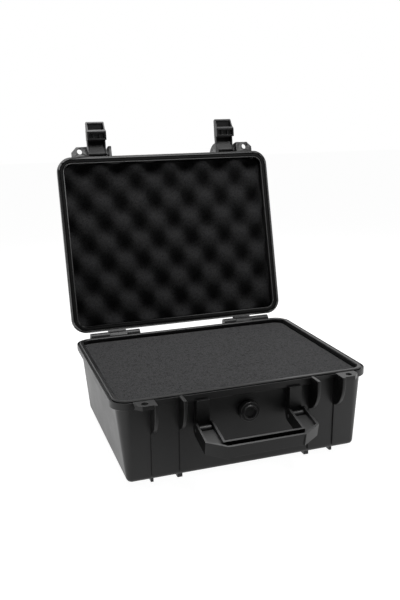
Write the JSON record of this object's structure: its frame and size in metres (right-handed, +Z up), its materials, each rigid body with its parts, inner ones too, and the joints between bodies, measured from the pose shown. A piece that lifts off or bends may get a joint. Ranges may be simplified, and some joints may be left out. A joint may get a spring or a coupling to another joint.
{
  "type": "equipment case",
  "caption": "Moulded hard case with a hinged lid standing open, swing latches, a folding channel handle, a pressure valve, padlock eyes, pick-out base foam and wavy lid foam.",
  "frame": {"origin": "centre of the tub's underside, between its runners", "axes": "+X to the right as the handle is faced, +Y from the handle to the hinges, +Z up out of the tub"},
  "size_m": [0.34, 0.437, 0.427],
  "materials": {
    "base_plastic": "satin moulded plastic with a fine moulded grain",
    "lid_plastic": "satin moulded plastic with a fine moulded grain",
    "latch_plastic": "satin moulded plastic",
    "handle_plastic": "satin moulded plastic, slightly worn on its top edges",
    "base_foam": "open-cell foam",
    "lid_foam": "wavy open-cell foam",
    "seal_rubber": "soft black rubber",
    "valve_plastic": "satin moulded plastic",
    "knob_plastic": "satin moulded plastic",
    "pin_steel": "plain drawn steel"
  },
  "bodies": {
    "base": {"base_shell": "base_plastic", "foam_bottom_pad": "base_foam", "foam_layer_lower": "base_foam", "foam_layer_upper": "base_foam", "hinge_pin_left": "pin_steel", "hinge_pin_right": "pin_steel", "handle_pin_left": "pin_steel", "handle_pin_right": "pin_steel", "valve_body": "valve_plastic", "valve_gasket": "seal_rubber", "valve_nut": "valve_plastic", "knob_oring": "seal_rubber"},
    "knob": {"purge_knob": "knob_plastic"},
    "lid": {"lid_shell": "lid_plastic", "lid_seal": "seal_rubber", "lid_foam": "lid_foam", "latch_pin_left": "pin_steel", "latch_pin_right": "pin_steel"},
    "left_latch": {"latch_left": "latch_plastic"},
    "right_latch": {"latch_right": "latch_plastic"},
    "grip": {"handle": "handle_plastic"}
  },
  "joints": [
    {"name": "lid_hinge", "type": "hinge", "parent": "base", "child": "lid", "pos_m": [0, 0.1406, 0.1057], "axis": [1, 0, 0], "range_deg": [0, 103.8]},
    {"name": "left_latch_hinge", "type": "hinge", "parent": "lid", "child": "left_latch", "pos_m": [-0.1047, 0.22482, 0.37272], "axis": [1, 0, 0], "range_deg": [0, 83]},
    {"name": "right_latch_hinge", "type": "hinge", "parent": "lid", "child": "right_latch", "pos_m": [0.1047, 0.22482, 0.37272], "axis": [1, 0, 0], "range_deg": [0, 83]},
    {"name": "handle_hinge", "type": "hinge", "parent": "base", "child": "grip", "pos_m": [0, -0.141, 0.064], "axis": [1, 0, 0], "range_deg": [-90, 77.3]},
    {"name": "purge_knob_turn", "type": "hinge", "parent": "base", "child": "knob", "pos_m": [0, -0.12837, 0.0754], "axis": [0, -1, 0], "range_deg": [0, 180]}
  ]
}
